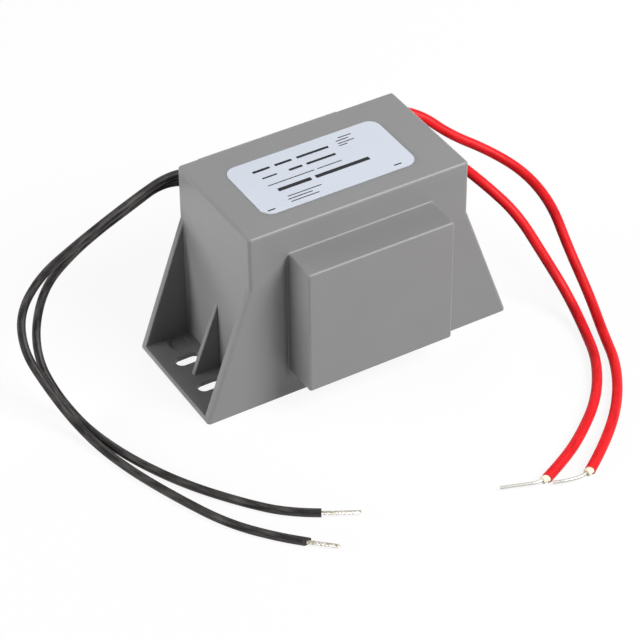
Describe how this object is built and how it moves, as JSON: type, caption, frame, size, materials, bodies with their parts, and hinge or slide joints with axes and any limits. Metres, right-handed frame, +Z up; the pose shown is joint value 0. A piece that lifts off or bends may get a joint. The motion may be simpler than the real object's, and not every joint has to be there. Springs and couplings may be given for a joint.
{
  "type": "mains transformer",
  "caption": "Encapsulated mains transformer: grey moulded block with coil bulges, a top label, slotted bolt-down feet with gussets, and black and red flying leads.",
  "frame": {"origin": "middle of the base, on the surface that the feet stand on", "axes": "+X along the body towards the red secondary leads, -Y the front with the pictured bulge, +Z up"},
  "size_m": [0.1396, 0.107, 0.0507],
  "materials": {
    "housing_plastic": "fine matt moulding",
    "label_film": "silver-white film",
    "core_steel": "stacked stampings",
    "bobbin_plastic": "plain",
    "winding_copper": "enamelled wire",
    "insulation_film": "film tape",
    "fuse_body": "plain",
    "tag_metal": "tinned",
    "black_sheath": "soft satin",
    "red_sheath": "soft satin",
    "cream_sleeve": "plain",
    "tinned_wire": "tinned copper"
  },
  "bodies": {
    "root": {"housing": "housing_plastic", "label": "label_film", "e_laminations": "core_steel", "i_laminations": "core_steel", "bobbin": "bobbin_plastic", "primary_winding": "winding_copper", "interlayer_insulation": "insulation_film", "secondary_winding": "winding_copper", "outer_tape": "insulation_film", "thermal_fuse": "fuse_body", "primary_terminal_1": "tag_metal", "primary_terminal_2": "tag_metal", "secondary_terminal_1": "tag_metal", "secondary_terminal_2": "tag_metal", "primary_lead_1": "black_sheath", "primary_lead_2": "black_sheath", "secondary_lead_1": "red_sheath", "secondary_lead_2": "red_sheath", "primary_conductor_1": "tinned_wire", "primary_conductor_2": "tinned_wire", "secondary_liner_1": "cream_sleeve", "secondary_liner_2": "cream_sleeve", "secondary_conductor_1": "tinned_wire", "secondary_conductor_2": "tinned_wire"}
  },
  "joints": []
}
